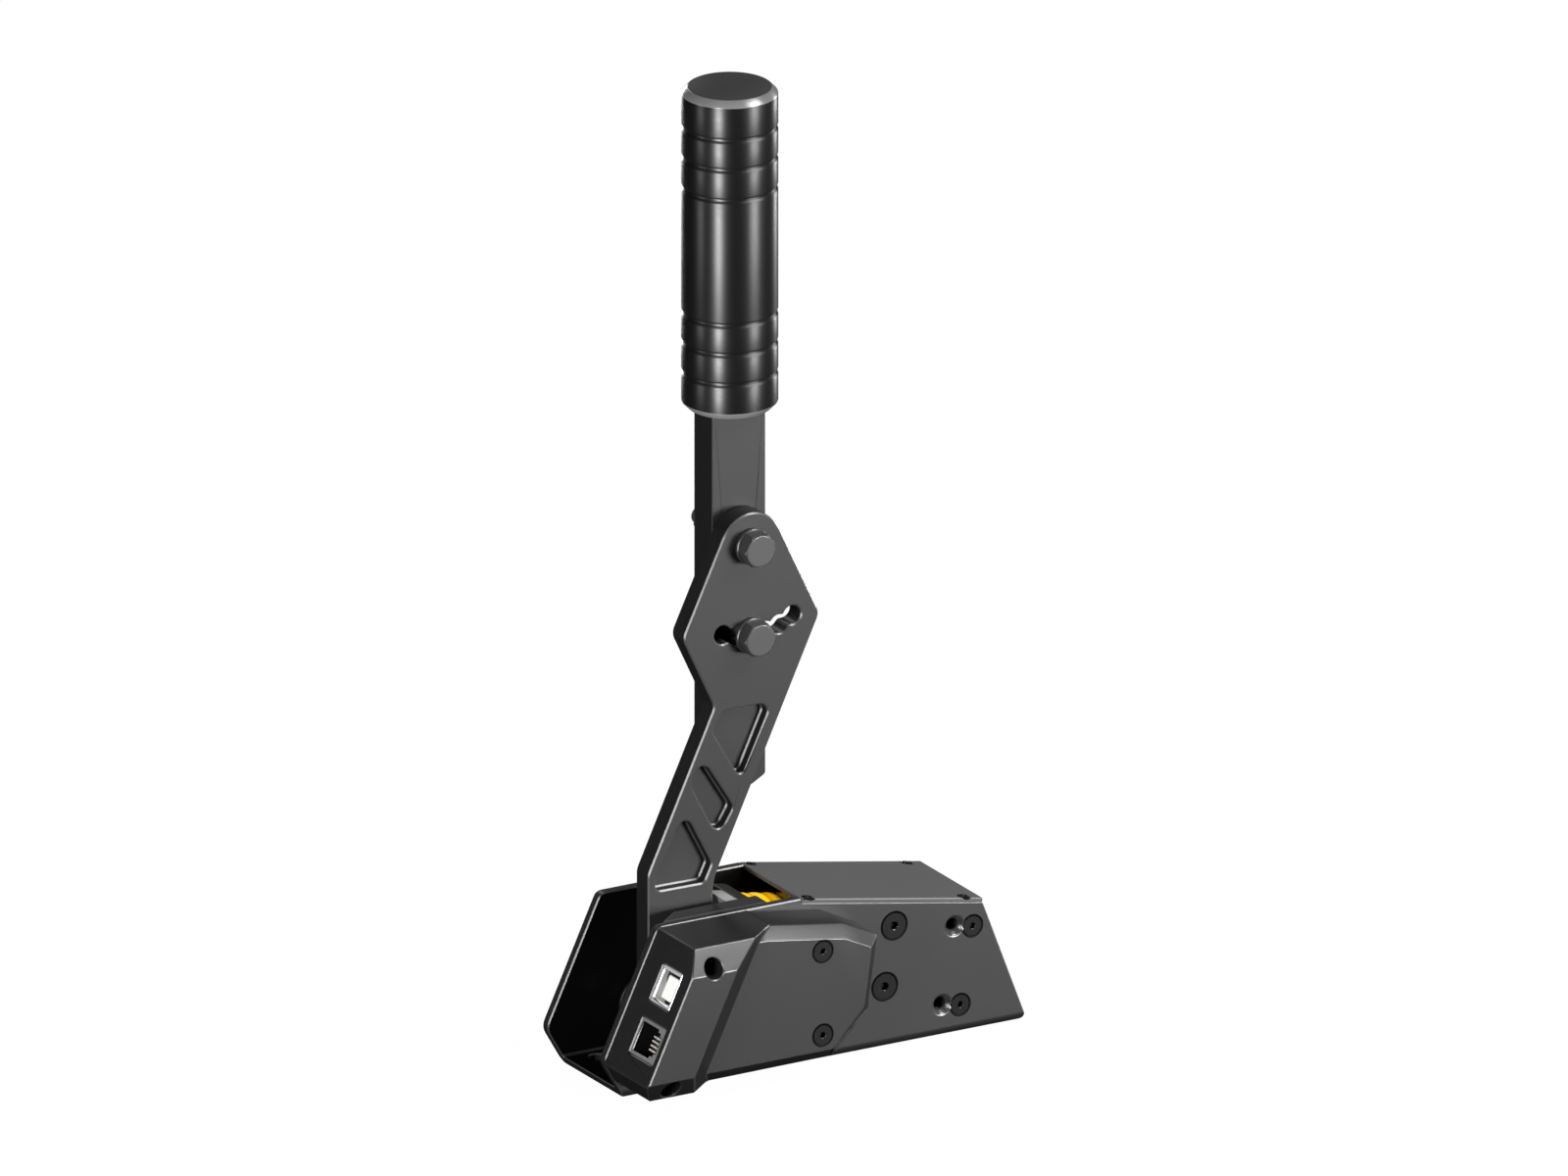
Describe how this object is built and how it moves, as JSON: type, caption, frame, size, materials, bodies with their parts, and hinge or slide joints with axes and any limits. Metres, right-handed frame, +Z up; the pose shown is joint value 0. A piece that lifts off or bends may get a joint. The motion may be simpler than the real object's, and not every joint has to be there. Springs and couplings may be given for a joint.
{
  "type": "sim racing handbrake",
  "caption": "Black upright racing-simulator handbrake: round grip, lightened lever, yellow elastomer brake stack in a folded steel channel, sockets at the front.",
  "frame": {"origin": "middle of the channel's underside, in the plane it stands on", "axes": "+Z up, +X to the rear where the brake stack ends, -Y to the side with the electronics housing; the lever is pulled towards -X"},
  "size_m": [0.1589, 0.0769, 0.3334],
  "materials": {
    "chassis_coat": "satin black powder coat",
    "roof_coat": "satin black powder coat",
    "black_screws": "black oxide",
    "light_steel": "dull bare steel",
    "black_rubber": "dull",
    "block_metal": "dark anodised",
    "bush_polymer": "bearing polymer",
    "board_green": "printed circuit board",
    "bright_steel": "turned steel",
    "sensor_body": "moulded",
    "ring_yellow": "satin polyurethane",
    "washer_steel": "black oxide",
    "arm_coat": "satin black powder coat",
    "bar_coat": "satin black powder coat",
    "grip_skin": "satin turned plastic",
    "bolt_black": "black oxide",
    "housing_plastic": "moulded, fine grained",
    "socket_metal": "bright tin plate",
    "socket_insert": "moulded",
    "jack_plastic": "moulded",
    "contact_gold": "gold plate"
  },
  "bodies": {
    "base": {"chassis": "chassis_coat", "roof_plate": "roof_coat", "roof_screws": "black_screws", "pivot_bracket": "chassis_coat", "stop_plate": "light_steel", "stop_screws": "black_screws", "stop_bumper": "black_rubber", "guide_block": "block_metal", "rear_block": "block_metal", "block_screws": "black_screws", "rear_block_screws": "black_screws", "bracket_screws": "black_screws", "web_bush": "bush_polymer", "guide_bush": "bush_polymer", "near_pivot_bush": "bush_polymer", "far_pivot_bush": "bush_polymer", "sensor_board": "board_green", "board_spacers": "bright_steel", "board_screws": "bright_steel", "hall_sensor": "sensor_body", "elastomer_rings": "ring_yellow", "housing": "housing_plastic", "face_screws": "black_screws", "housing_screws": "black_screws", "circuit_board": "board_green", "usb_shell": "socket_metal", "usb_insert": "socket_insert", "jack_body": "jack_plastic", "jack_contacts": "contact_gold"},
    "rod": {"pull_rod": "bright_steel", "rod_pin": "bright_steel", "pressure_washer": "washer_steel", "preload_nut": "bright_steel"},
    "lever": {"arm_plate": "arm_coat", "pivot_hub": "bright_steel", "pivot_shaft": "bright_steel", "hub_spacer": "bright_steel", "thrust_washer": "bright_steel", "hub_set_screw": "black_screws", "sensor_magnet": "bright_steel"},
    "handle": {"handle_bar": "bar_coat", "grip": "grip_skin", "grip_stud": "bright_steel", "clamp_bolts": "bolt_black", "clamp_washers": "bolt_black", "clamp_nuts": "bolt_black"}
  },
  "joints": [
    {"name": "lever_pull", "type": "hinge", "parent": "base", "child": "lever", "pos_m": [-0.047, 0, 0.017], "axis": [0, -1, 0], "range_deg": [0, 14], "stiffness_Nm_per_rad": 150, "springref_deg": -2.86},
    {"name": "rod_slide", "type": "slide", "parent": "base", "child": "rod", "axis": [-0.9848, 0, 0.1736], "range_m": [0, 0.0066], "deforming": ["elastomer_rings"]},
    {"name": "handle_tilt", "type": "hinge", "parent": "lever", "child": "handle", "pos_m": [-0.0205, 0, 0.1781], "axis": [0, 1, 0], "range_deg": [-30, 20]}
  ],
  "couplings": [
    {"joint": "rod_slide", "follows": "lever_pull", "m_per_rad": 0.026908}
  ]
}
